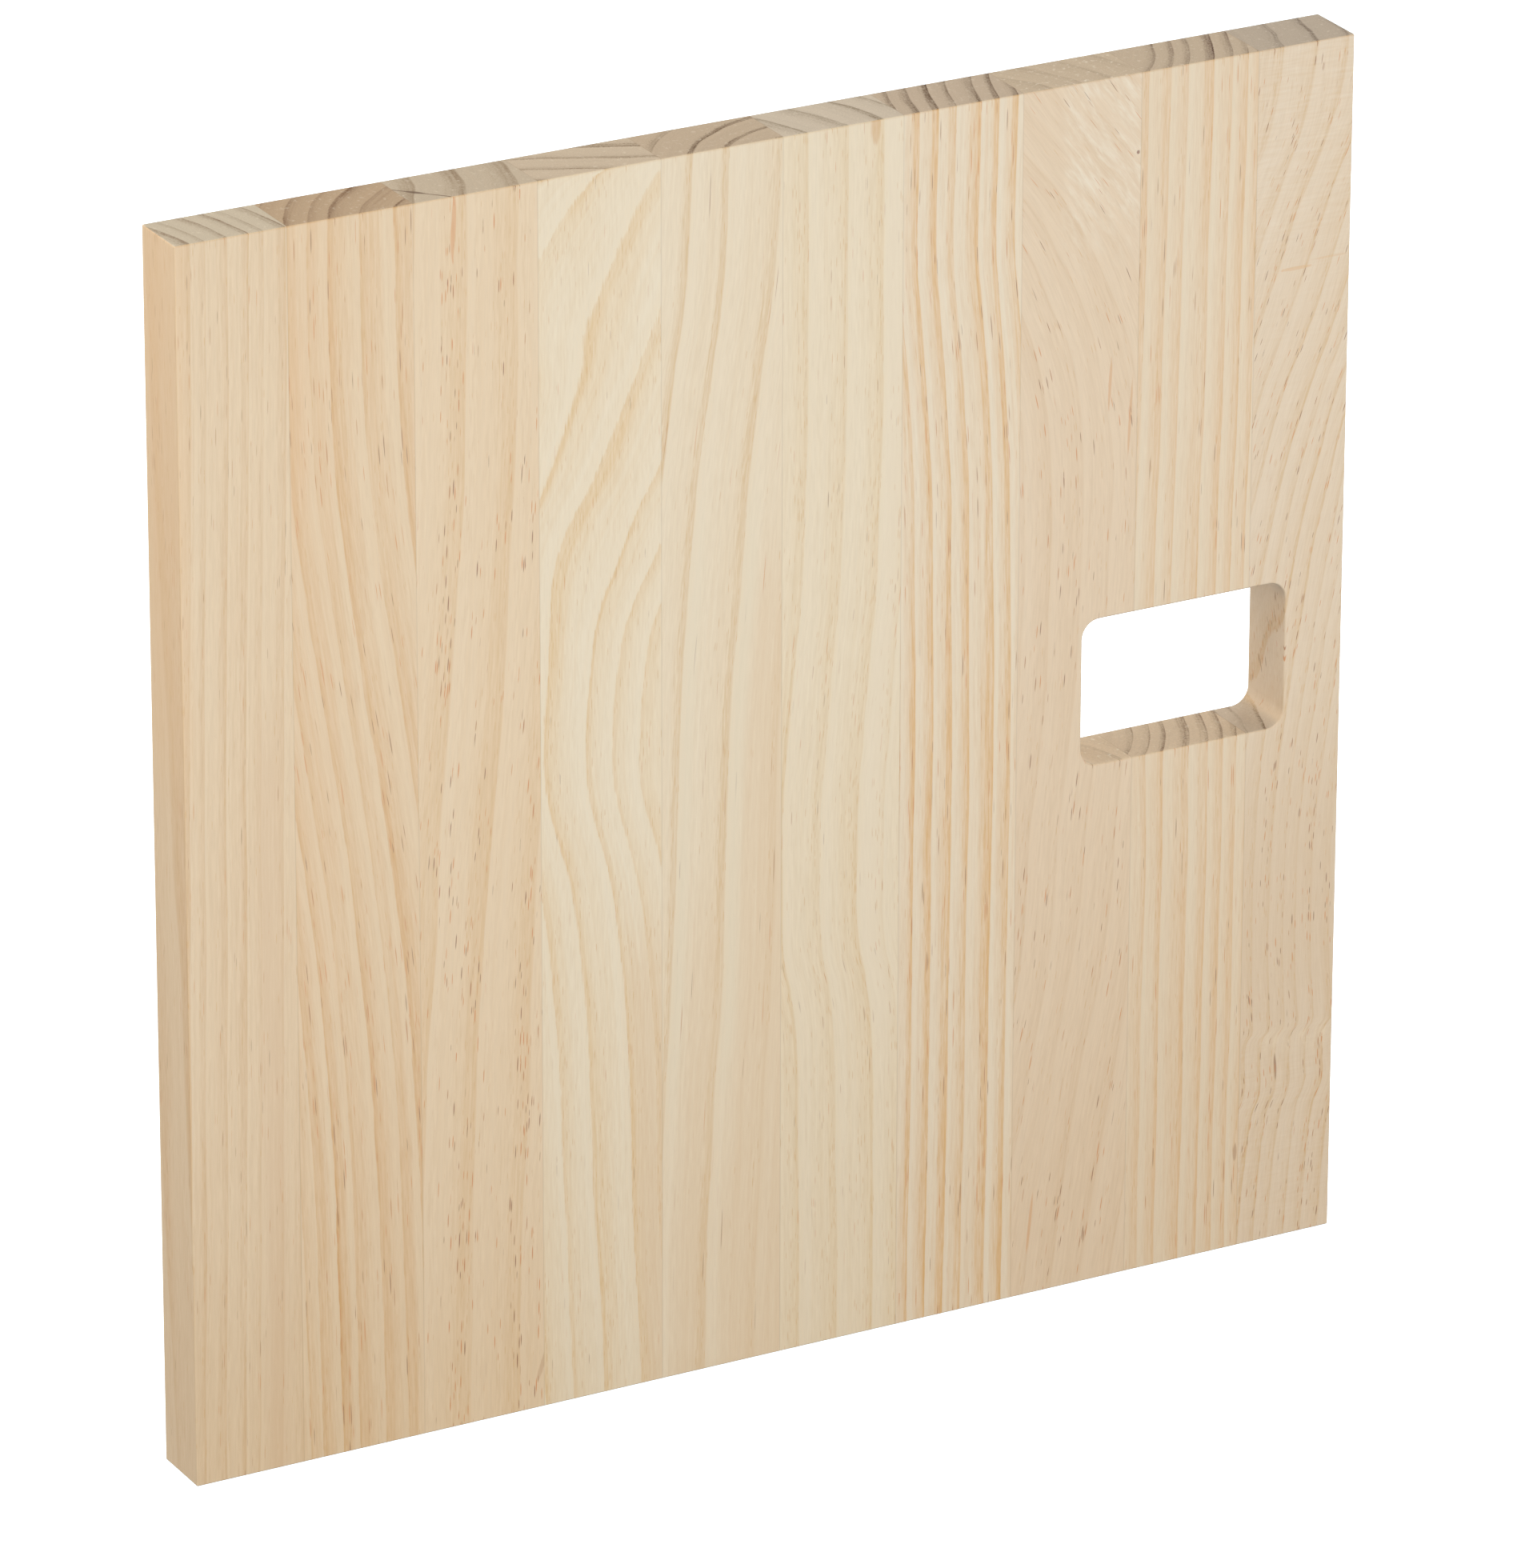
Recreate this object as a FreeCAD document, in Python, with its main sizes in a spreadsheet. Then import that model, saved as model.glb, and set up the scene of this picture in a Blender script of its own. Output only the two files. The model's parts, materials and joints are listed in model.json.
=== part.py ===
import FreeCAD, Part
import os
import Sketcher

# A square door for one cube of a shelf, glued up from full-length pine staves, with a routed finger hole.
# +Z is up, the front faces -Y, and the origin is the middle of the edge that the door stands on.
# The finger hole is beside the door's opening edge, at +X, and the staves are numbered from there.

SIZES = {
    "door_width": 330,
    "door_height": 330,
    "door_thickness": 18,
    "opening_stave_width": 28,
    "stave_width": 34,
    "planing_allowance": 1,
    "hole_width": 60,
    "hole_height": 40,
    "hole_margin": 17,
    "hole_corner_radius": 5,
    "arris_radius": 0.5,
}

# A sketch's own origin, and the start and end of one of its lines, as its constraints name them.
ORIGIN = (-1, 1)
START, END = 1, 2

VOLUME_TOLERANCE = 1e-6


def make_sheet(doc):
    """Driving dimensions, in millimetres."""
    sheet = doc.addObject("Spreadsheet::Sheet", "sizes")
    for row, (name, value) in enumerate(SIZES.items(), start=1):
        sheet.set(f"A{row}", name)
        sheet.set(f"B{row}", str(value))
        sheet.setAlias(f"B{row}", name)
    doc.recompute()
    return sheet


def front_sketch(body, name):
    """A sketch seen from the front: its x runs along +X and its y along +Z."""
    sketch = body.newObject("Sketcher::SketchObject", name)
    plane = next(feature for feature in body.Origin.OriginFeatures if feature.Role == "XZ_Plane")
    sketch.AttachmentSupport = (plane, [""])
    sketch.MapMode = "FlatFace"
    return sketch


def set_distance(sketch, kind, first, second, name, formula, value):
    """A distance from one point of the sketch to another, bound to a formula on the sheet."""
    sketch.addConstraint(Sketcher.Constraint(kind, *first, *second, value))
    sketch.renameConstraint(sketch.ConstraintCount - 1, name)
    sketch.setExpression(f"Constraints.{name}", formula)


def level_and_plumb(sketch, bottom, right, top, left):
    for line in (bottom, top):
        sketch.addConstraint(Sketcher.Constraint("Horizontal", line))
    for line in (right, left):
        sketch.addConstraint(Sketcher.Constraint("Vertical", line))


def draw_outline(sketch, sheet):
    """The door's rectangle, standing on the origin."""
    half_width, height = sheet.door_width / 2, sheet.door_height
    corners = [
        FreeCAD.Vector(-half_width, 0, 0),
        FreeCAD.Vector(half_width, 0, 0),
        FreeCAD.Vector(half_width, height, 0),
        FreeCAD.Vector(-half_width, height, 0),
    ]
    sides = [
        sketch.addGeometry(Part.LineSegment(start, end), False)
        for start, end in zip(corners, corners[1:] + corners[:1])
    ]
    for side, following in zip(sides, sides[1:] + sides[:1]):
        sketch.addConstraint(Sketcher.Constraint("Coincident", side, END, following, START))
    bottom, right, top, left = sides
    level_and_plumb(sketch, bottom, right, top, left)
    sketch.addConstraint(Sketcher.Constraint("Symmetric", bottom, START, bottom, END, *ORIGIN))
    set_distance(sketch, "DistanceX", (bottom, START), (bottom, END),
                 "width", "sizes.door_width", sheet.door_width)
    set_distance(sketch, "DistanceY", (right, START), (right, END),
                 "height", "sizes.door_height", sheet.door_height)


def hole_span(sheet):
    """The finger hole's left and right walls, from the door's middle."""
    right = sheet.door_width / 2 - sheet.hole_margin
    return right - sheet.hole_width, right


def draw_finger_hole(sketch, sheet):
    """A rectangle with the round corners that the router leaves, half way up the door."""
    left, right = hole_span(sheet)
    low = (sheet.door_height - sheet.hole_height) / 2
    high = low + sheet.hole_height
    radius = sheet.hole_corner_radius
    slant = radius * 0.5 ** 0.5

    def line(x0, z0, x1, z1):
        return sketch.addGeometry(
            Part.LineSegment(FreeCAD.Vector(x0, z0, 0), FreeCAD.Vector(x1, z1, 0)), False)

    def corner(x, z, x_side, z_side):
        """An arc about (x, z) from the wall before the corner to the wall after it, anticlockwise."""
        middle = FreeCAD.Vector(x + x_side * slant, z + z_side * slant, 0)
        on_wall = FreeCAD.Vector(x + x_side * radius, z, 0)
        on_sill = FreeCAD.Vector(x, z + z_side * radius, 0)
        ends = (on_sill, on_wall) if x_side * z_side < 0 else (on_wall, on_sill)
        return sketch.addGeometry(Part.Arc(ends[0], middle, ends[1]), False)

    bottom = line(left + radius, low, right - radius, low)
    low_right = corner(right - radius, low + radius, 1, -1)
    right_side = line(right, low + radius, right, high - radius)
    high_right = corner(right - radius, high - radius, 1, 1)
    top = line(right - radius, high, left + radius, high)
    high_left = corner(left + radius, high - radius, -1, 1)
    left_side = line(left, high - radius, left, low + radius)
    low_left = corner(left + radius, low + radius, -1, -1)

    loop = [bottom, low_right, right_side, high_right, top, high_left, left_side, low_left]
    for piece, following in zip(loop, loop[1:] + loop[:1]):
        sketch.addConstraint(Sketcher.Constraint("Tangent", piece, END, following, START))
    level_and_plumb(sketch, bottom, right_side, top, left_side)
    for arc in (high_right, high_left, low_left):
        sketch.addConstraint(Sketcher.Constraint("Equal", low_right, arc))
    sketch.addConstraint(Sketcher.Constraint("Radius", low_right, radius))
    sketch.renameConstraint(sketch.ConstraintCount - 1, "corner_radius")
    sketch.setExpression("Constraints.corner_radius", "sizes.hole_corner_radius")
    set_distance(sketch, "DistanceX", (left_side, START), (right_side, START),
                 "hole_width", "sizes.hole_width", sheet.hole_width)
    set_distance(sketch, "DistanceY", (bottom, START), (top, START),
                 "hole_height", "sizes.hole_height", sheet.hole_height)
    set_distance(sketch, "DistanceX", ORIGIN, (right_side, START),
                 "right_wall", "sizes.door_width / 2 - sizes.hole_margin", right)
    set_distance(sketch, "DistanceY", ORIGIN, (bottom, START),
                 "bottom_wall", "(sizes.door_height - sizes.hole_height) / 2", low)


def edges_to_ease(shape, sheet):
    """Every edge but those that run through the hole, where its walls meet its corners."""
    inside = sheet.door_width / 2 - sheet.hole_margin / 2
    names = []
    for number, edge in enumerate(shape.Edges, start=1):
        box = edge.BoundBox
        runs_through = box.YLength > sheet.door_thickness / 2
        if not (runs_through and abs(box.Center.x) < inside):
            names.append(f"Edge{number}")
    return names


def make_finished_door(doc, sheet):
    """The glued board's finished form: sawn square, routed for fingers and eased on every arris."""
    body = doc.addObject("PartDesign::Body", "finished_door")

    outline = front_sketch(body, "outline")
    draw_outline(outline, sheet)
    board = body.newObject("PartDesign::Pad", "board")
    board.Profile = outline
    board.SideType = "Symmetric"
    board.setExpression("Length", "sizes.door_thickness")

    hole = front_sketch(body, "finger_hole_outline")
    draw_finger_hole(hole, sheet)
    finger_hole = body.newObject("PartDesign::Pocket", "finger_hole")
    finger_hole.Profile = hole
    finger_hole.SideType = "Symmetric"
    finger_hole.Type = "ThroughAll"
    doc.recompute()
    if finger_hole.Shape.Volume >= board.Shape.Volume:
        raise RuntimeError("the finger hole cuts nothing")

    eased = body.newObject("PartDesign::Fillet", "eased_arrises")
    eased.Base = (finger_hole, edges_to_ease(finger_hole.Shape, sheet))
    eased.setExpression("Radius", "sizes.arris_radius")
    body.Tip = eased
    doc.recompute()
    return body


def make_blank(doc, name, left, right, bottom, top):
    """A sawn length of pine before planing, thicker than the door by the allowance on each face."""
    blank = doc.addObject("Part::Box", f"{name}_blank")
    blank.setExpression("Length", f"({right}) - ({left})")
    blank.setExpression("Width", "sizes.door_thickness + 2 * sizes.planing_allowance")
    blank.setExpression("Height", f"({top}) - ({bottom})")
    blank.setExpression("Placement.Base.x", left)
    blank.setExpression("Placement.Base.y", "-sizes.door_thickness / 2 - sizes.planing_allowance")
    blank.setExpression("Placement.Base.z", bottom)
    return blank


def make_stave(doc, finished_door, name, left, right, bottom, top):
    """What is left of one blank once the glued board has its finished form."""
    stave = doc.addObject("Part::Common", name)
    stave.Base = make_blank(doc, name, left, right, bottom, top)
    stave.Tool = finished_door
    return stave


def make_staves(doc, sheet, finished_door):
    """Staves side by side from the opening edge; the one at the hinge edge takes what is left."""
    inner_widths = (sheet.door_width - sheet.opening_stave_width) / sheet.stave_width
    glue_lines = [
        f"sizes.door_width / 2 - sizes.opening_stave_width - {number} * sizes.stave_width"
        for number in range(max(1, round(inner_widths)))
    ]
    opening_end = "sizes.door_width / 2 + sizes.planing_allowance"
    hinge_end = "-sizes.door_width / 2 - sizes.planing_allowance"
    bottom, top = "-sizes.planing_allowance", "sizes.door_height + sizes.planing_allowance"
    half_way_up = "sizes.door_height / 2"

    hole_middle = sheet.hole_margin + sheet.hole_width / 2
    cut_through = 2 + int((hole_middle - sheet.opening_stave_width) // sheet.stave_width)
    staves = []
    for number, (right, left) in enumerate(
            zip([opening_end] + glue_lines, glue_lines + [hinge_end]), start=1):
        name = f"stave_{number}"
        if number == cut_through:
            above = make_stave(doc, finished_door, f"{name}_above_hole", left, right, half_way_up, top)
            below = make_stave(doc, finished_door, f"{name}_below_hole", left, right, bottom, half_way_up)
            staves += [above, below]
        else:
            staves.append(make_stave(doc, finished_door, name, left, right, bottom, top))
    doc.recompute()
    return staves


def check(doc, finished_door, staves):
    """Every object is sound, each stave is one solid, and together they fill the finished door."""
    for item in doc.Objects:
        if {"Invalid", "Error"} & set(item.State):
            raise RuntimeError(f"{item.Label} did not recompute: {item.State}")
    for stave in staves:
        if stave.Shape.isNull() or not stave.Shape.isValid() or len(stave.Shape.Solids) != 1:
            raise RuntimeError(f"{stave.Label} is not one sound solid")
    filled = sum(stave.Shape.Volume for stave in staves)
    whole = finished_door.Shape.Volume
    if abs(filled - whole) > VOLUME_TOLERANCE * whole:
        raise RuntimeError(f"the staves fill {filled:.3f} of {whole:.3f} cubic millimetres")


def main():
    doc = FreeCAD.newDocument("shelf_cube_door")
    sheet = make_sheet(doc)
    finished_door = make_finished_door(doc, sheet)
    staves = make_staves(doc, sheet, finished_door)
    check(doc, finished_door, staves)
    os.makedirs("parts", exist_ok=True)
    for stave in staves:
        stave.Shape.exportStep(f"parts/{stave.Label}.step")
        print(f"{stave.Label}: {stave.Shape.Volume / 1000:.2f} cubic centimetres")
    print(f"whole door: {finished_door.Shape.Volume / 1000:.2f} cubic centimetres")


main()
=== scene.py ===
import bpy
import json
import math
from mathutils import Matrix, Vector
from types import SimpleNamespace


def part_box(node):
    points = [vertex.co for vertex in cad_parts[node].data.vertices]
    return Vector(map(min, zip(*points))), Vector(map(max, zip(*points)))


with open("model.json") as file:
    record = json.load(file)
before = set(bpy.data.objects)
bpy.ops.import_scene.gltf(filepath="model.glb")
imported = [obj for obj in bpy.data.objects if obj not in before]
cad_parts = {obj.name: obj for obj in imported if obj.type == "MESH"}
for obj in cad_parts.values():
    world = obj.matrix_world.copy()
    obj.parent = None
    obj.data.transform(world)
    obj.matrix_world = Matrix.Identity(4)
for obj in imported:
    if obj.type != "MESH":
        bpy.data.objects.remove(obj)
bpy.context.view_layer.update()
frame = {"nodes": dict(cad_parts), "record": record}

# A square pine door, edge-glued from staves. Its shapes are the CAD nodes as they are. This script
# gives each stave its wood, and stands the door in a studio before the photograph's camera.

# Lengths inside the wood are in millimetres: across each stave from its left edge as seen from the
# front, deep from the front face, and up from the bottom edge.
DOOR_THICKNESS = 18
HOLE_BOTTOM, HOLE_TOP = 145, 185
# How far above and below the hole the painted light on its end grain reaches.
HOLE_LIGHT_MARGIN = 5
MARK_DEPTH = 6

# Each resin canal or fleck lies in a cell of its own, and its radius is a part of the cell. The
# shift keeps the flecks' cells apart from the canals'.
CELL_WIDTH = 0.5
CELL_PER_DASH = 1.25
FLECK_CELL_LENGTH = 5
FLECK_SHIFT = 40
SMALLEST_RADIUS = 0.16
RADIUS_SPREAD = 0.22

# The split in a stave's end is widest near its start.
CRACK_WIDEST = 0.35
CRACK_BULGE = 0.2
CRACK_HALF_WIDTHS = 0.35, 1.1
CRACK_FADE = 25

GLUE_REACH, GLUE_CORE = 0.2, 0.04
GLUE_STRENGTH = 0.2

# Sets each stave's patterns apart from its neighbours'.
SEED_STEP = 3.7

# Screen colours of 0 to 255 that all staves share.
CANAL_PALE = (204, 130, 70)
CANAL_DARK = (132, 76, 38)
FLECK = (208, 164, 108)
TORN = (232, 218, 194)
CRACK = (104, 78, 56)
GLUE = (150, 118, 84)

PLANED_ROUGHNESS = 0.42
SAWN_ROUGHNESS = 0.72

# How brightly the floor glows by the door and in front of it, and how far in front, in metres.
FLOOR_GLOW_NEAR = 0.95
FLOOR_GLOW_FAR = 3.85
GLOW_STARTS, GLOW_ENDS = 0.05, 0.5

# How bright the studio is above the door, along the horizon and below it.
WORLD_ABOVE = 0.45
WORLD_HORIZON = 0.8
WORLD_BELOW = 0.25

# A stave's pale colour and its tints are painted with these parts of their red, green and blue,
# which makes them warmer.
WARMTH = (1, 0.987, 0.969)

# What each stave looks like. Colours are screen colours of 0 to 255.
#   pale: a ring's early wood on the face
#   depth, hue: how much darker its late wood is, and the share of red, green and blue in that
#   end_pale, end_tan: a ring's early and late wood on the end grain
#   torn: how much lighter torn spots make the end grain
#   rings: where each ring ends along the top front edge, and how strongly the ring shows there
#   late_side: -1 where a ring's late wood lies left of that place, 1 where it lies right of it
#   late, soft: how much of a ring is late wood, and how gradually it begins
#   pith: the tree's middle, across and deep; slant: how the rings lie where they are nearly flat
#   fringe: how far hairs reach from the late wood; wobble: how much the rings wave
#   follow: 0 where the fibres stand upright although the rings lean
#   dashes, dash_depth, dash_length: how many resin canals show, how dark and how long they are
#   columns, levels: how much denser they are at each place across, or at each height
#   flecks: how much of the late wood is broken into short orange flecks
#   lean, spread: how far the rings have moved sideways, and how far apart they lie, at each height
#   chatter: how strongly the planer's cross lines show at each height
#   tints: soft areas of another colour, between two rings or two places across, and two heights;
#   soft and blend are the widths of their edges, across and up, and mottled is their patches' size
#   marks: small spots and streaks, each about its place across and up
#   crack: a split in the top end, from one place across and deep to another, and its lowest reach
STAVES = {
    "pine_stave_10": dict(
        pale=(221, 196, 160), depth=13, hue=(0.6, 1.08, 1.45),
        end_pale=(200, 184, 158), end_tan=(160, 139, 113),
        rings=[(-12, 0.7), (-3.5, 0.8), (4.5, 1), (8.5, 0.6), (14.5, 0.9), (20, 1), (24, 0.6),
               (30, 0.8), (36, 0.7)],
        late_side=-1, late=0.5, soft=0.6, pith=(-120, -22), fringe=0.2, wobble=0.4,
        dashes=0.35, dash_depth=0.45, dash_length=7, flecks=0.2,
        lean=[(0, -6), (45, -5), (90, -4.2), (150, -3.5), (210, -2.5), (270, -1), (330, 0)],
        tints=[dict(colour=(222, 188, 146), amount=0.5, across=(-9, 3), heights=(190, 400)),
               dict(colour=(216, 186, 150), amount=0.6, across=(20, 26), heights=(-40, 200))]),
    "pine_stave_9": dict(
        pale=(221, 194, 156), depth=19, hue=(0.55, 1.1, 1.7),
        end_pale=(185, 157, 124), end_tan=(145, 115, 84),
        rings=[(-34, 0.7), (-30, 0.6), (-26.5, 0.8), (-22, 0.6), (-18.5, 0.8), (-12.8, 1),
               (-8, 0.6), (-1, 0.8), (5.5, 0.5), (10.7, 0.9), (19.7, 0.6), (28.8, 0.8),
               (37.5, 0.7)],
        late_side=1, late=0.4, soft=0.4, pith=(57, -24), fringe=0.25, wobble=0.5,
        dashes=0.6, dash_depth=0.7, dash_length=9, flecks=0.35,
        lean=[(0, 24), (30, 23.5), (60, 22.8), (90, 21.5), (120, 19.5), (150, 16.5), (180, 12.5),
              (210, 8), (240, 4), (270, 1), (300, 0), (330, 0)],
        tints=[dict(colour=(219, 172, 118), amount=0.25, across=(-9, 5), heights=(255, 300)),
               dict(colour=(219, 182, 138), amount=0.22, across=(-9, 12), heights=(120, 400))]),
    "pine_stave_8": dict(
        pale=(224, 199, 163), depth=10, hue=(0.55, 1.1, 1.7),
        end_pale=(196, 177, 150), end_tan=(166, 144, 116),
        rings=[(-13, 0.7), (1, 0.7), (15, 1), (29, 0.9), (43, 0.9), (57, 0.7)],
        late_side=-1, late=0.5, soft=0.5, pith=(-40, 26), fringe=0.25, wobble=0.8,
        dashes=0.75, dash_depth=0.95, dash_length=6, flecks=0.25,
        columns=[(0, 0.4), (6, 0.5), (9, 1.3), (12, 0.7), (16, 0.9), (19, 0.4), (25, 0.4),
                 (29, 1.3), (34, 1.3)],
        lean=[(0, -16), (30, -15.5), (60, -14.5), (90, -13), (120, -11.5), (150, -9.5), (180, -7),
              (210, -4.5), (240, -2.5), (270, -1.2), (300, -0.5), (330, 0)],
        marks=[dict(at=(11, 322), size=(0.8, 9), slope=0.05, colour=(206, 140, 78), amount=0.6),
               dict(at=(33.5, 12), size=(0.9, 5), slope=0.3, colour=(178, 132, 90), amount=0.4)],
        crack=dict(start=(0, 11), end=(11.5, -1), lowest=300)),
    "pine_stave_7": dict(
        pale=(228, 210, 180), depth=12, hue=(0.45, 1.1, 1.9),
        end_pale=(204, 183, 155), end_tan=(164, 142, 114),
        rings=[(-27, 0.8), (-18, 0.9), (-9, 0.9), (0, 1), (12, 1), (20, 0.9), (27.5, 0.8),
               (38, 0.5)],
        late_side=1, late=0.28, soft=0.25, slant=2.2, fringe=0.5, wobble=0.6, follow=0,
        dashes=0.06, dash_depth=0.5, dash_length=6, flecks=0.4,
        lean=[(0, 17), (30, 15.5), (50, 14.5), (80, 13.5), (110, 12), (130, 10), (140, 8.5),
              (150, 6), (160, 3), (170, 1), (185, 0.5), (200, 2), (215, 3), (225, 4), (235, 7),
              (250, 15), (270, 24), (290, 33.5), (310, 44), (330, 56)],
        spread=[(0, 0.92), (110, 0.92), (150, 0.95), (185, 1), (200, 1), (215, 1.15), (235, 1.5),
                (270, 1.6), (290, 2.2), (310, 2.4), (330, 2.1)],
        tints=[dict(colour=(218, 188, 150), amount=0.5, rings=(13, 60), heights=(-40, 125),
                    soft=3)]),
    "pine_stave_6": dict(
        pale=(226, 207, 176), depth=14, hue=(0.55, 1.1, 1.65),
        end_pale=(194, 171, 142), end_tan=(140, 116, 88),
        rings=[(-14, 0.6), (-3, 0.7), (9, 1), (19.5, 1), (34, 0.9), (48, 0.5), (62, 0.3)],
        late_side=-1, late=0.14, soft=0.14, pith=(42, -25), fringe=0.3, wobble=0.5,
        dashes=0.15, dash_depth=0.6, dash_length=16, flecks=0.3,
        lean=[(0, -21.5), (40, -20.5), (60, -19.5), (80, -18.5), (100, -17), (130, -15.8),
              (160, -15), (185, -14), (210, -12), (235, -10), (255, -7.5), (270, -5.5), (300, -1.5),
              (330, 0)],
        tints=[dict(colour=(220, 192, 156), amount=0.5, rings=(38, 80), heights=(-40, 220), soft=4),
               dict(colour=(220, 192, 156), amount=0.4, rings=(24, 33.5), heights=(-40, 130),
                    soft=3),
               dict(colour=(224, 210, 182), amount=0.5, rings=(20, 23), heights=(80, 235), soft=2),
               dict(colour=(224, 210, 182), amount=0.5, rings=(34.5, 38), heights=(80, 235),
                    soft=2)]),
    "pine_stave_5": dict(
        pale=(227, 209, 179), depth=9.5, hue=(0.5, 1.1, 1.8),
        end_pale=(205, 188, 164), end_tan=(164, 146, 121),
        rings=[(-14, 0.5), (-3.5, 0.6), (7.5, 0.9), (18.5, 0.9), (29, 1), (36.5, 0.8), (44, 0.5)],
        late_side=-1, late=0.3, soft=0.3, pith=(-60, -21), fringe=0.3, wobble=0.5,
        dashes=0.15, dash_depth=0.5, dash_length=6, flecks=0.5,
        lean=[(0, -1.8), (30, -2), (60, -2.2), (80, -2.5), (100, -4.5), (120, -7), (140, -7),
              (165, -5.5), (190, -3.5), (210, -1.5), (240, -0.5), (270, -0.2), (330, 0)],
        tints=[dict(colour=(230, 214, 188), amount=0.5, rings=(30, 36), heights=(80, 400))],
        marks=[dict(at=(26, 328), size=(1.6, 5), colour=(204, 158, 104), amount=0.6)]),
    "pine_stave_4": dict(
        pale=(225, 204, 173), depth=21, hue=(0.4, 1.12, 2),
        end_pale=(194, 172, 145), end_tan=(138, 115, 89),
        rings=[(-10, 0.8), (-5, 0.8), (-0.8, 0.9), (4.5, 1), (10, 1), (15, 0.8), (22, 1), (27, 0.9),
               (32.5, 1), (38, 0.8)],
        late_side=-1, late=0.36, soft=0.25, pith=(130, -31), fringe=0.2, wobble=0.35,
        dashes=0.5, dash_depth=0.7, dash_length=9, flecks=0.3,
        lean=[(0, 4), (30, 4.3), (60, 4.7), (90, 4.9), (120, 5), (150, 5.2), (180, 5.2), (210, 4.8),
              (225, 4.5), (240, 3.7), (255, 2.8), (270, 1.5), (280, 0.5), (290, -0.3), (300, -0.5),
              (310, -0.3), (330, 0)]),
    "pine_stave_3": dict(
        pale=(222, 198, 166), depth=10, hue=(0.7, 1.05, 1.5),
        end_pale=(200, 178, 148), end_tan=(132, 108, 80), torn=0.8,
        rings=[(-62, 0.3), (-52, 0.5), (-44, 0.4), (-36, 0.6), (-27, 0.5), (-19, 0.4), (-10, 0.5),
               (-1, 0.4), (8, 0.5), (17, 0.4), (27, 0.4), (36, 0.4)],
        late_side=-1, late=0.4, soft=0.5, pith=(-50, -20), fringe=0.3, wobble=1.2,
        dashes=0.5, dash_depth=0.85, dash_length=6, flecks=0.3,
        levels=[(0, 1), (120, 0.8), (230, 1), (270, 0.6), (310, 0.3), (330, 0.2)],
        lean=[(0, 22), (30, 26), (60, 31), (90, 36.5), (135, 41), (150, 42.5), (165, 43.8),
              (185, 45), (200, 46), (215, 46.5), (230, 46), (240, 45), (250, 43), (260, 40.5),
              (270, 37), (280, 33), (290, 28), (300, 22), (310, 14.5), (320, 7), (330, 0)],
        tints=[dict(colour=(232, 218, 195), amount=0.75, across=(12, 40), heights=(288, 400),
                    mottled=2.5)],
        marks=[dict(at=(33.2, 309), size=(0.5, 0.6), colour=(126, 80, 52), amount=0.9),
               dict(at=(26, 248), size=(0.5, 9), slope=0.05, colour=(206, 144, 84), amount=0.5),
               dict(at=(32, 238), size=(0.5, 12), slope=0.05, colour=(206, 144, 84), amount=0.5),
               dict(at=(5.5, 20), size=(0.5, 10), slope=0.1, colour=(206, 144, 84), amount=0.5)]),
    "pine_stave_2": dict(
        pale=(223, 201, 169), depth=14, hue=(0.35, 1.13, 1.85),
        end_pale=(193, 171, 142), end_tan=(138, 114, 88),
        rings=[(-4, 0.7), (2.5, 0.8), (8.5, 0.8), (13.5, 0.9), (21, 1), (26.5, 0.9), (31, 0.9),
               (35, 0.9), (39, 0.7)],
        late_side=-1, late=0.35, soft=0.3, pith=(-45, 42), fringe=0.2, wobble=0.4,
        dashes=0.35, dash_depth=0.65, dash_length=9, flecks=0.3,
        lean=[(0, -4.7), (30, -4.5), (60, -4.2), (90, -4), (120, -3.8), (145, -4), (185, -2.6),
              (210, -2.2), (240, -1.3), (270, -0.8), (300, -0.3), (330, 0)],
        marks=[dict(at=(33, 27), size=(0.7, 3), colour=(160, 114, 78), amount=0.5)]),
    "pine_stave_1": dict(
        pale=(221, 199, 169), depth=12, hue=(0.55, 1.1, 1.75),
        end_pale=(182, 164, 141), end_tan=(136, 117, 95),
        rings=[(-4, 0.6), (8, 0.8), (18, 0.9), (26, 0.8), (34, 0.7), (41, 0.9), (48.5, 0.9),
               (53, 0.6), (58, 0.9), (63, 0.9), (67.5, 0.8), (71.5, 0.8), (76.5, 0.9), (82, 0.8),
               (87, 0.8), (93, 0.8)],
        late_side=-1, late=0.26, soft=0.26, pith=(-80, 30), fringe=0.3, wobble=0.9,
        dashes=0.75, dash_depth=0.8, dash_length=4, flecks=0.5,
        lean=[(0, -62.5), (20, -60.5), (36, -58.5), (44, -56), (50, -56.3), (57, -56), (60, -54),
              (65, -54.2), (75, -55), (90, -55.5), (120, -54.5), (145, -52), (165, -49), (180, -46),
              (195, -43), (215, -38), (235, -32), (250, -26), (270, -19), (283, -14.5), (295, -9.5),
              (308, -4), (318, -1.5), (330, 0)],
        chatter=[(0, 0.35), (40, 0.8), (70, 0.4), (200, 0.3), (270, 0.6), (300, 1.4), (330, 1.4)],
        tints=[dict(colour=(214, 188, 156), amount=0.5, across=(-9, 45), heights=(60, 135),
                    blend=30),
               dict(colour=(228, 208, 178), amount=0.9, across=(6, 34), heights=(53, 59), blend=3,
                    mottled=1.5)],
        marks=[dict(at=(10.8, 49), size=(0.45, 4.5), slope=-0.06, colour=(140, 96, 62), amount=0.7),
               dict(at=(12, 270), size=(5.5, 0.6), colour=(214, 166, 108), amount=0.5),
               dict(at=(22, 271.5), size=(6, 0.4), colour=(214, 166, 108), amount=0.3)]),
}


def linear(colour):
    """A screen colour of 0 to 255 as the linear colour that the shader works in."""
    parts = [part / 255 for part in colour]
    return tuple(p / 12.92 if p <= 0.04045 else ((p + 0.055) / 1.055) ** 2.4 for p in parts) + (1,)


def warmed(colour):
    """The screen colour that is painted where this one is given."""
    return tuple(round(part * share) for part, share in zip(colour, WARMTH))


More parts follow.
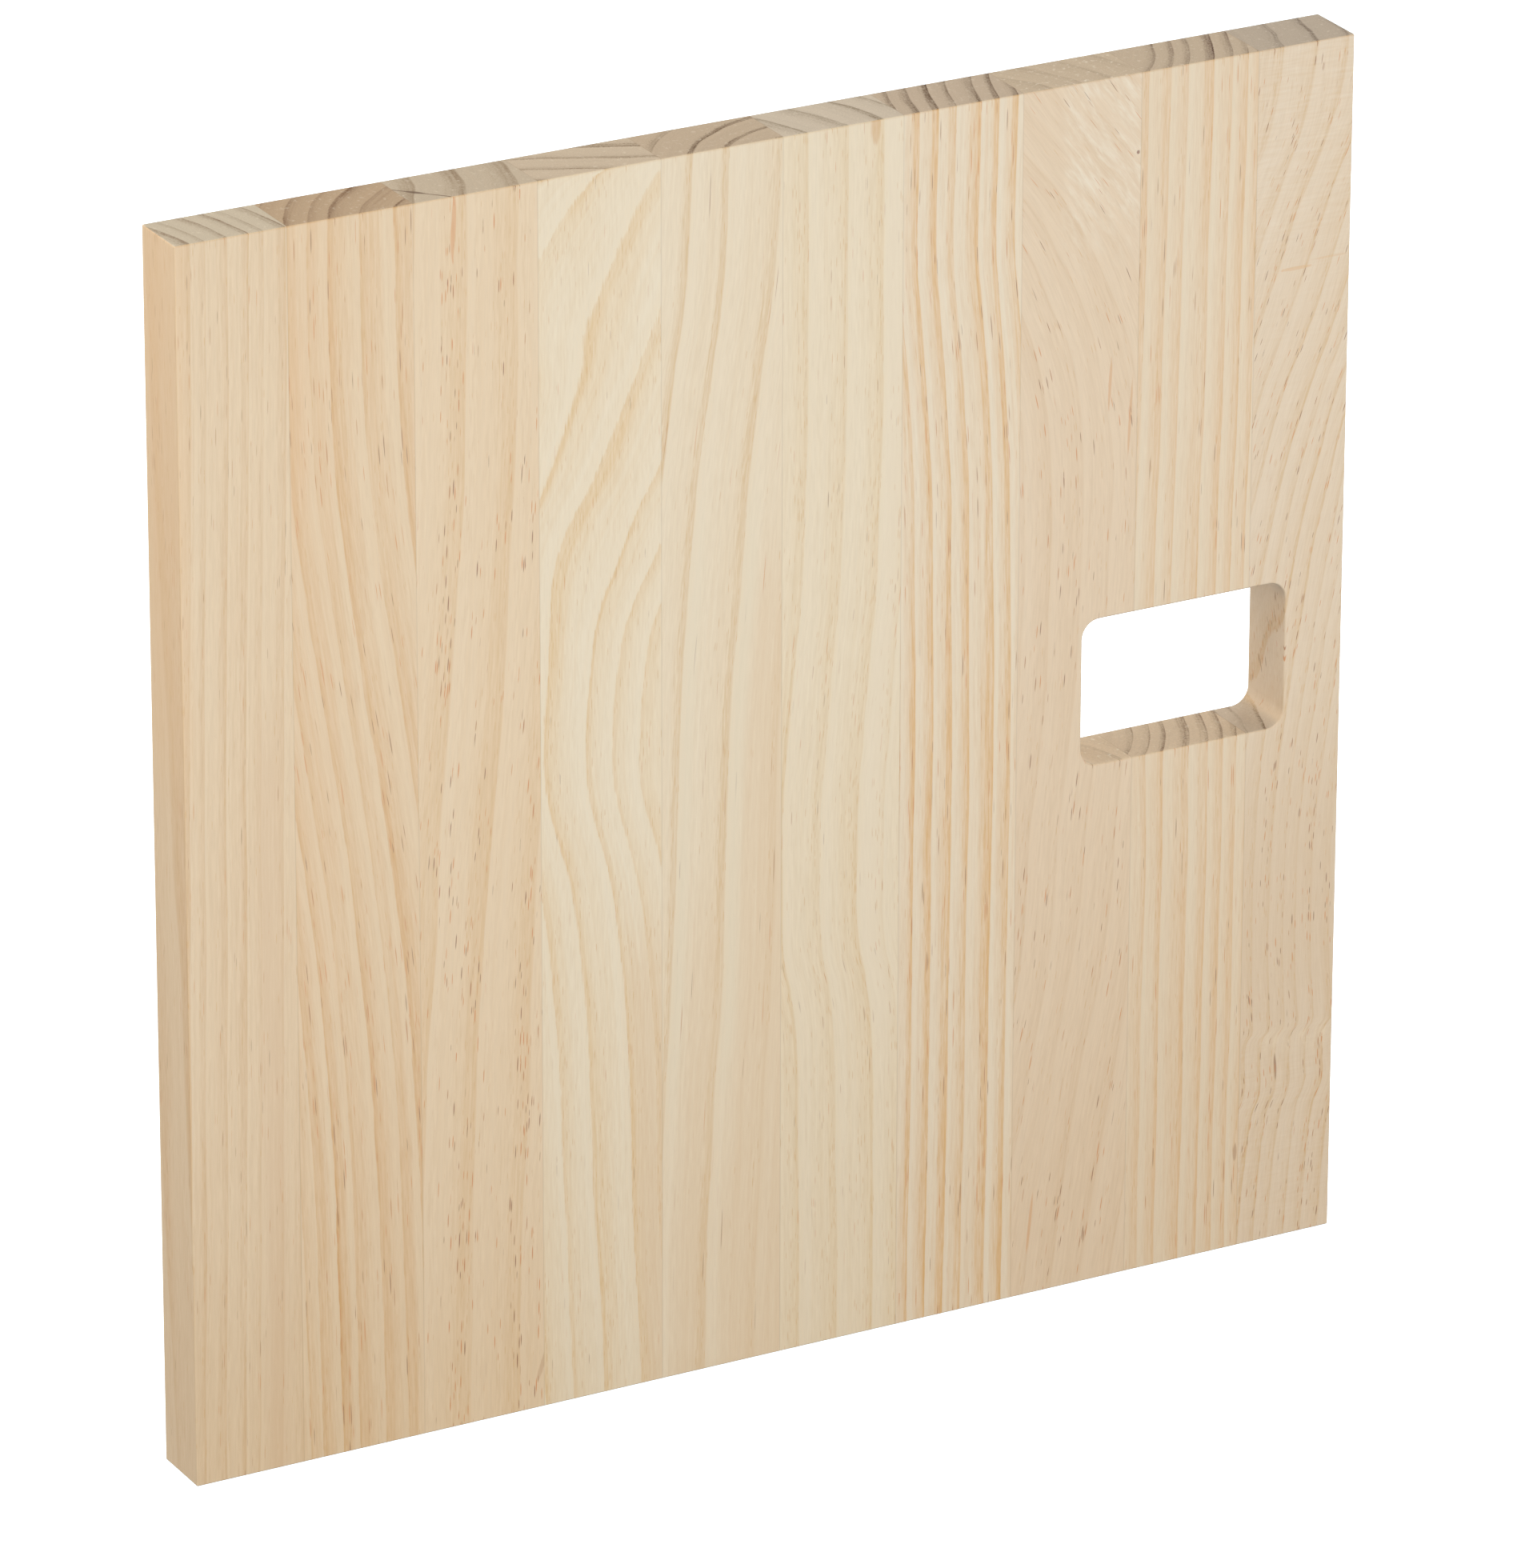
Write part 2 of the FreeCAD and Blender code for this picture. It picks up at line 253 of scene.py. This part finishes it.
def late_colour(look):
    """The screen colour of a stave's late wood, which is its painted early wood made darker."""
    early = warmed(look["pale"])
    return tuple(round(part - look["depth"] * share) for part, share in zip(early, look["hue"]))


class Wiring:
    """Adds nodes to one tree and joins them; a value is a number or another node's output."""

    def __init__(self, tree):
        self.tree = tree

    def node(self, kind, **settings):
        node = self.tree.nodes.new("ShaderNode" + kind)
        for name, value in settings.items():
            setattr(node, name, value)
        return node

    def feed(self, socket, value):
        if isinstance(value, bpy.types.NodeSocket):
            self.tree.links.new(value, socket)
        else:
            socket.default_value = value

    def math(self, operation, *values):
        node = self.node("Math", operation=operation)
        for socket, value in zip(node.inputs, values):
            self.feed(socket, value)
        return node.outputs[0]

    def add(self, first, *others):
        for other in others:
            first = self.math("ADD", first, other)
        return first

    def times(self, first, *others):
        for other in others:
            first = self.math("MULTIPLY", first, other)
        return first

    def minus(self, first, second):
        return self.math("SUBTRACT", first, second)

    def magnitude(self, value):
        return self.math("ABSOLUTE", value)

    def fade(self, value, start, end, low=0.0, high=1.0, soft=True):
        """From low at start to high at end, and level outside."""
        node = self.node("MapRange", interpolation_type="SMOOTHSTEP" if soft else "LINEAR")
        for name, item in (("Value", value), ("From Min", start), ("From Max", end),
                           ("To Min", low), ("To Max", high)):
            self.feed(node.inputs[name], item)
        return node.outputs["Result"]

    def curve(self, value, points, handle="AUTO"):
        """A line through (input, output) points, level before the first and after the last."""
        inputs = [point[0] for point in points]
        outputs = [point[1] for point in points]
        first, last, low, high = inputs[0], inputs[-1], min(outputs), max(outputs)
        if high == low:
            return low
        node = self.node("FloatCurve")
        self.feed(node.inputs["Value"], self.fade(value, first, last, soft=False))
        drawn = node.mapping.curves[0].points
        scaled = [((x - first) / (last - first), (y - low) / (high - low)) for x, y in points]
        drawn[0].location = scaled[0]
        drawn[1].location = scaled[-1]
        for place in scaled[1:-1]:
            drawn.new(*place)
        for point in drawn:
            point.handle_type = handle
        node.mapping.update()
        return self.fade(node.outputs["Value"], 0, 1, low, high, soft=False)

    def vector(self, x, y, z):
        node = self.node("CombineXYZ")
        for socket, value in zip(node.inputs, (x, y, z)):
            self.feed(socket, value)
        return node.outputs[0]

    def split(self, vector):
        node = self.node("SeparateXYZ")
        self.feed(node.inputs[0], vector)
        return node.outputs

    def patches(self, place, sizes, shift=(0, 0, 0), detail=1.0, roughness=0.5):
        """Smooth noise of about -0.5 to 0.5, in patches of those sizes and moved by the shift."""
        parts = []
        for part, size, move in zip(place, sizes, shift):
            scaled = self.times(part, 1 / size)
            parts.append(self.add(scaled, move) if move else scaled)
        node = self.node("TexNoise")
        self.feed(node.inputs["Vector"], self.vector(*parts))
        node.inputs["Scale"].default_value = 1
        node.inputs["Detail"].default_value = detail
        node.inputs["Roughness"].default_value = roughness
        return self.minus(node.outputs[0], 0.5)

    def dashes(self, beside, height, length, share):
        """Slim dashes in a share of the cells of that length, and a random number for each cell."""
        node = self.node("TexVoronoi", voronoi_dimensions="2D")
        cells_across, cells_up = self.times(beside, 1 / CELL_WIDTH), self.times(height, 1 / length)
        self.feed(node.inputs["Vector"], self.vector(cells_across, cells_up, 0))
        node.inputs["Scale"].default_value = 1
        chance, size, shade = self.split(node.outputs["Color"])
        radius = self.add(self.times(size, RADIUS_SPREAD), SMALLEST_RADIUS)
        shape = self.fade(node.outputs["Distance"], radius, self.times(radius, 0.5))
        return self.times(shape, self.fade(self.add(chance, share), 0.96, 1.04)), shade

    def mix(self, amount, first, second):
        """From the first colour at 0 to the second at 1, and on past both."""
        node = self.node("Mix", data_type="RGBA", clamp_factor=False)
        self.feed(node.inputs[0], amount)
        self.feed(node.inputs[6], first)
        self.feed(node.inputs[7], second)
        return node.outputs[2]

    def brighten(self, colour, amount):
        node = self.node("VectorMath", operation="SCALE")
        self.feed(node.inputs[0], colour)
        self.feed(node.inputs["Scale"], amount)
        return node.outputs[0]


def ring_line(w, look, across, deep, lean, height):
    """Where a point's ring comes out along the stave's top front edge."""
    if "slant" in look:
        inward = w.times(deep, look["slant"])
        moved = w.add(w.minus(across, lean), inward)
    else:
        pith_across, pith_deep = look["pith"]
        side = 1 if pith_across < 0 else -1
        aside = w.minus(across, pith_across)
        square = w.add(w.times(aside, aside), w.times(deep, deep), w.times(deep, -2 * pith_deep))
        at_front = w.add(w.times(w.math("SQRT", square), side), pith_across)
        moved = w.minus(at_front, lean)
    if "spread" in look:
        moved = w.math("DIVIDE", moved, w.curve(height, look["spread"]))
    return moved


def late_wood(w, look, ring_place, fibres, lines, drift):
    """How dark a ring is: it darkens slowly, with hairs, and ends sharply at the ring's edge."""
    rings = look["rings"]
    fringe = w.times(fibres, look["fringe"] * 3)
    growth = w.curve(w.add(ring_place, fringe),
                     [(x, number) for number, (x, _) in enumerate(rings)], "VECTOR")
    part = w.math("FRACT", growth)
    if look["late_side"] > 0:
        part = w.minus(1, part)
    hairs = w.times(w.add(fringe, w.times(lines, 0.5)), w.minus(1, part))
    starts = 1 - look["late"]
    half = look["soft"] / 2
    late = w.curve(w.add(part, hairs),
                   [(0, -0.1), (0.08, -0.25), (starts * 0.55, 0), (starts - half, 0.15),
                    (starts + half, 0.7), (0.9, 0.9), (0.95, 1), (0.975, 0.8), (1, -0.1)],
                   "AUTO_CLAMPED")
    strength = w.curve(ring_place, rings)
    return w.times(late, strength, w.add(1, w.times(fibres, 1.2), w.times(lines, 1.5),
                                         w.times(drift, 0.8)))


def wood_grain(w, look, left):
    """Where a point lies in its stave, and the patterns that its face and end grain share."""
    place = w.node("TexCoord")
    scaled = w.node("VectorMath", operation="MULTIPLY_ADD")
    w.feed(scaled.inputs[0], place.outputs["Object"])
    scaled.inputs[1].default_value = (1000, 1000, 1000)
    scaled.inputs[2].default_value = (-left, DOOR_THICKNESS / 2, 0)
    across, deep, height = w.split(scaled.outputs[0])

    lean = w.curve(height, look["lean"])
    follow = w.minus(across, w.times(lean, look.get("follow", 1)))
    seed = left * SEED_STEP

    # Slow waves in the rings, short fibres, long fine lines, and slow streaks beside each other.
    wave = w.patches((across, deep, height), (16, 16, 60), shift=(seed, 0, 0))
    ring_place = w.add(ring_line(w, look, across, deep, lean, height),
                       w.times(wave, 4 * look["wobble"]))
    fibres = w.patches((follow, deep, height), (0.5, 0.5, 7), shift=(0, seed, 0),
                       detail=2, roughness=0.65)
    lines = w.patches((ring_place, deep, height), (1.5, 25, 90), shift=(seed, 0, 0),
                      detail=3, roughness=0.7)
    drift = w.patches((follow, deep, height), (9, 12, 110), shift=(seed, 0, 0))
    return SimpleNamespace(
        across=across, deep=deep, height=height, normal=place.outputs["Normal"], seed=seed,
        beside=w.add(follow, deep, seed), ring_place=ring_place, fibres=fibres, lines=lines,
        drift=drift, late=late_wood(w, look, ring_place, fibres, lines, drift))


def area(w, grain, tint):
    """How much a tint covers a soft-edged and streaky part of the stave."""
    place = grain.ring_place if "rings" in tint else grain.across
    first, last = tint["rings"] if "rings" in tint else tint["across"]
    low, high = tint["heights"]
    soft, blend = tint.get("soft", 2), tint.get("blend", 18)
    amount = w.times(w.fade(place, first - soft, first + soft), tint["amount"])
    amount = w.times(w.fade(place, last + soft, last - soft), amount)
    amount = w.times(w.fade(grain.height, low - blend, low + blend), amount)
    amount = w.times(w.fade(grain.height, high + blend, high - blend), amount)
    if "mottled" in tint:
        wide = tint["mottled"]
        patches = w.patches((grain.ring_place, 0, grain.height), (wide, wide, wide / 0.3),
                            detail=3, roughness=0.7)
        amount = w.times(w.fade(patches, -0.1, 0.2), amount)
    return w.times(amount, w.add(1, w.times(grain.fibres, 0.8), w.times(grain.lines, 1.5)))


def blot(w, grain, mark):
    """How much a small mark covers the wood near the front; it may slant."""
    x, z = mark["at"]
    wide, tall = mark["size"]
    up = w.add(grain.height, -z)
    aside = w.minus(w.add(grain.across, -x), w.times(up, mark.get("slope", 0)))
    far = w.add(w.math("POWER", w.magnitude(w.times(aside, 1 / wide)), 2),
                w.math("POWER", w.magnitude(w.times(up, 1 / tall)), 2),
                w.times(grain.deep, 1 / MARK_DEPTH), w.times(grain.fibres, 1.2))
    return w.fade(far, 1, 0.3)


def crack(w, grain, gap):
    """How much a thin split in the top end, that runs some way down, covers the end grain."""
    (x0, y0), (x1, y1) = gap["start"], gap["end"]
    long = math.hypot(x1 - x0, y1 - y0)
    across, deep = w.add(grain.across, -x0), w.add(grain.deep, -y0)
    along = w.times(w.add(w.times(across, x1 - x0), w.times(deep, y1 - y0)), 1 / long ** 2)
    aside = w.times(w.minus(w.times(across, y1 - y0), w.times(deep, x1 - x0)), 1 / long)
    from_widest = w.magnitude(w.add(along, -CRACK_WIDEST))
    half_width = w.fade(from_widest, CRACK_BULGE, 0, *CRACK_HALF_WIDTHS)
    amount = w.fade(w.magnitude(aside), half_width, w.times(half_width, 0.3))
    amount = w.times(amount, w.fade(along, 1.05, 1))
    return w.times(amount, w.fade(grain.height, gap["lowest"], gap["lowest"] + CRACK_FADE))


def resin_canals(w, look, grain):
    """How much thin dashes along the grain cover the face, in clumps, and how dark each is."""
    crowd = w.add(w.times(grain.late, 0.4), w.times(grain.lines, 1.8), 0.14)
    clumps = w.patches((grain.beside, grain.height, 0), (5, 16, 1), shift=(0, 0, grain.seed))
    crowd = w.times(crowd, w.fade(clumps, -0.15, 0.2, 0.2, 1.7))
    if "columns" in look:
        crowd = w.times(crowd, w.curve(grain.across, look["columns"]))
    if "levels" in look:
        crowd = w.times(crowd, w.curve(grain.height, look["levels"]))
    return w.dashes(grain.beside, grain.height, look["dash_length"] * CELL_PER_DASH,
                    w.times(crowd, look["dashes"]))


def face_colour(w, look, grain):
    """Wood cut along the grain: rings, fine lines, tints, marks, flecks and resin canals."""
    tone = w.add(grain.late, w.times(grain.fibres, 0.3), w.times(grain.lines, 1.1),
                 w.times(grain.drift, 0.5))
    if "chatter" in look:
        cross = w.patches((grain.across, grain.deep, grain.height), (9, 9, 0.8))
        tone = w.add(tone, w.times(cross, w.curve(grain.height, look["chatter"])))
    face = w.mix(tone, linear(warmed(look["pale"])), linear(late_colour(look)))
    face = w.brighten(face, w.add(1, w.times(grain.fibres, -0.12)))
    for tint in look.get("tints", []):
        face = w.mix(area(w, grain, tint), face, linear(warmed(tint["colour"])))
    for mark in look.get("marks", []):
        face = w.mix(w.times(blot(w, grain, mark), mark["amount"]), face, linear(mark["colour"]))
    flecks, _ = w.dashes(w.add(grain.beside, FLECK_SHIFT), grain.height, FLECK_CELL_LENGTH,
                         w.times(w.add(grain.late, 0.1), look["flecks"]))
    face = w.mix(w.times(flecks, 0.5), face, linear(FLECK))
    canals, shade = resin_canals(w, look, grain)
    canal_colour = w.mix(w.fade(shade, 0.3, 0.9), linear(CANAL_PALE), linear(CANAL_DARK))
    return w.mix(w.times(canals, look["dash_depth"]), face, canal_colour)


def end_colour(w, look, grain):
    """Wood cut across the grain: darker, speckled with pores and torn here and there, with painted
    light in the hole.
    """
    place = (grain.across, grain.deep, grain.height)
    speckle = w.patches(place, (0.35, 0.35, 2), detail=2, roughness=0.6)
    dark = w.math("POWER", w.math("MAXIMUM", w.add(grain.late, w.times(grain.lines, 0.8)), 0), 1.6)
    colour = w.mix(dark, linear(look["end_pale"]), linear(look["end_tan"]))
    # Painted light: the end grain of the hole's bottom and top walls is painted lighter than the
    # top's, in a band a little taller than the hole.
    hole_light = w.times(w.fade(grain.height, HOLE_BOTTOM - HOLE_LIGHT_MARGIN, HOLE_BOTTOM),
                     w.fade(grain.height, HOLE_TOP + HOLE_LIGHT_MARGIN, HOLE_TOP))
    colour = w.brighten(colour, w.add(1, w.times(speckle, 0.4), w.times(grain.lines, 0.2),
                                      w.times(hole_light, 0.2)))
    torn = w.patches(place, (1.4, 1.8, 5), shift=(grain.seed, 0, 0), detail=2, roughness=0.6)
    colour = w.mix(w.times(w.fade(torn, 0.06, 0.26), look.get("torn", 0.35)), colour, linear(TORN))
    if "crack" in look:
        colour = w.mix(w.times(crack(w, grain, look["crack"]), 0.8), colour, linear(CRACK))
    return colour


def pine(slot, left, width):
    """The wood of one stave, solid all through, so that face, end grain and hole walls agree."""
    look = STAVES[slot]
    material = bpy.data.materials.new(slot)
    material.use_nodes = True
    tree = material.node_tree
    tree.nodes.clear()
    w = Wiring(tree)
    grain = wood_grain(w, look, left)

    # How much of the surface is end grain, or the duller edge of a board, from which way it faces.
    sideways, _, upward = w.split(grain.normal)
    end = w.fade(w.magnitude(upward), 0.55, 0.95)
    edgewise = w.fade(w.magnitude(sideways), 0.5, 0.9)
    colour = w.mix(end, face_colour(w, look, grain), end_colour(w, look, grain))

    # A thin darker line of glue where two staves meet.
    edge = w.math("MINIMUM", grain.across, w.minus(width, grain.across))
    glue = w.times(w.fade(edge, GLUE_REACH, GLUE_CORE), GLUE_STRENGTH)
    colour = w.mix(glue, colour, linear(GLUE))

    shader = w.node("BsdfPrincipled")
    w.feed(shader.inputs["Base Color"], colour)
    rough = w.fade(w.add(end, edgewise), 0, 1, PLANED_ROUGHNESS, SAWN_ROUGHNESS, soft=False)
    w.feed(shader.inputs["Roughness"], w.add(rough, w.times(grain.fibres, 0.15)))
    shader.inputs["Specular IOR Level"].default_value = 0.5

    bump = w.node("Bump")
    bump.inputs["Strength"].default_value = 0.4
    bump.inputs["Distance"].default_value = 0.00008
    w.feed(bump.inputs["Height"], grain.fibres)
    w.feed(shader.inputs["Normal"], bump.outputs[0])

    output = w.node("OutputMaterial")
    w.feed(output.inputs["Surface"], shader.outputs[0])
    return material


def dress_staves():
    slots = {item["node"]: item["material_slot"] for item in frame["record"]["subparts"]}
    made = {}
    for name, node in frame["nodes"].items():
        slot = slots[name]
        if slot not in made:
            low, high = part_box(name)
            made[slot] = pine(slot, low[0] * 1000, (high[0] - low[0]) * 1000)
        for place in node.material_slots:
            place.material = made[slot]


def add_floor():
    """A wide white floor that the door stands on."""
    mesh = bpy.data.meshes.new("floor")
    reach = 12
    corners = [(-reach, -reach, 0), (reach, -reach, 0), (reach, reach, 0), (-reach, reach, 0)]
    mesh.from_pydata(corners, [], [(0, 1, 2, 3)])
    floor = bpy.data.objects.new("floor", mesh)
    bpy.context.scene.collection.objects.link(floor)
    material = bpy.data.materials.new("floor")
    material.use_nodes = True
    shader = material.node_tree.nodes["Principled BSDF"]
    shader.inputs["Base Color"].default_value = (0.86, 0.86, 0.86, 1)
    shader.inputs["Roughness"].default_value = 0.9
    shader.inputs["Specular IOR Level"].default_value = 0.1
    shader.inputs["Emission Color"].default_value = (0.85, 1, 1.1, 1)
    # The floor grows brighter in front of the door, and the satin wood mirrors it.
    w = Wiring(material.node_tree)
    spot = w.split(w.node("TexCoord").outputs["Object"])
    w.feed(shader.inputs["Emission Strength"],
           w.fade(w.times(spot[1], -1), GLOW_STARTS, GLOW_ENDS, FLOOR_GLOW_NEAR, FLOOR_GLOW_FAR))
    mesh.materials.append(material)
    # The floor stays white without lighting the door's lower half from below.
    floor.visible_diffuse = False


def add_softbox(name, place, aim, size, power, colour):
    data = bpy.data.lights.new(name, "AREA")
    data.shape = "DISK"
    data.size = size
    data.energy = power
    data.color = colour
    lamp = bpy.data.objects.new(name, data)
    lamp.location = place
    lamp.rotation_euler = (Vector(aim) - Vector(place)).to_track_quat("-Z", "Y").to_euler()
    bpy.context.scene.collection.objects.link(lamp)


def add_key():
    """A wide sun from in front and above, even all over the door."""
    data = bpy.data.lights.new("key", "SUN")
    data.energy = 1.4
    data.angle = math.radians(30)
    lamp = bpy.data.objects.new("key", data)
    direction = Vector((0.12, 0.8, -0.6))
    lamp.rotation_euler = direction.to_track_quat("-Z", "Y").to_euler()
    bpy.context.scene.collection.objects.link(lamp)


def add_world():
    """Bright along the horizon, dimmer above and below, so that the key light models the door."""
    world = bpy.data.worlds.new("studio")
    bpy.context.scene.world = world
    world.use_nodes = True
    tree = world.node_tree
    tree.nodes.clear()
    w = Wiring(tree)
    direction = w.node("TexCoord")
    rise = w.split(direction.outputs["Generated"])[2]
    background = w.node("Background")
    background.inputs["Color"].default_value = (1, 1, 1, 1)
    strength = w.curve(rise, [(-0.12, WORLD_BELOW), (-0.04, WORLD_HORIZON), (0.14, WORLD_HORIZON),
                              (0.3, WORLD_ABOVE)], "VECTOR")
    w.feed(background.inputs["Strength"], strength)
    output = w.node("OutputWorld")
    w.feed(output.inputs["Surface"], background.outputs[0])


def add_camera():
    """Left of the door and above it; its lens and place were fitted to the photographed corners."""
    data = bpy.data.cameras.new("camera")
    data.lens = 266
    data.sensor_width = 36
    camera = bpy.data.objects.new("camera", data)
    place = Vector((-1.2884, -2.3638, 1.2813))
    aim = Vector((-0.0061, -0.009, 0.1592))
    turn = (aim - place).to_track_quat("-Z", "Y").to_matrix().to_4x4()
    roll = Matrix.Rotation(math.radians(0.12), 4, "Z")
    camera.matrix_world = Matrix.Translation(place) @ turn @ roll
    bpy.context.scene.collection.objects.link(camera)
    bpy.context.scene.camera = camera


bpy.context.scene.view_settings.view_transform = "Standard"
dress_staves()
add_floor()
add_world()
add_key()
add_softbox("fill", place=(-0.7, 0, 0.72), aim=(-0.16, 0, 0.3), size=0.5, power=1.9,
            colour=(1, 1, 1))
add_softbox("back_left", place=(-0.6, 0.6, 0.35), aim=(0.1, 0, 0.17), size=0.4, power=2,
            colour=(1, 0.99, 0.97))
add_softbox("back_right", place=(0.75, 0.55, 0.6), aim=(0.1, 0, 0.2), size=0.5, power=2,
            colour=(1, 1, 1))
add_camera()
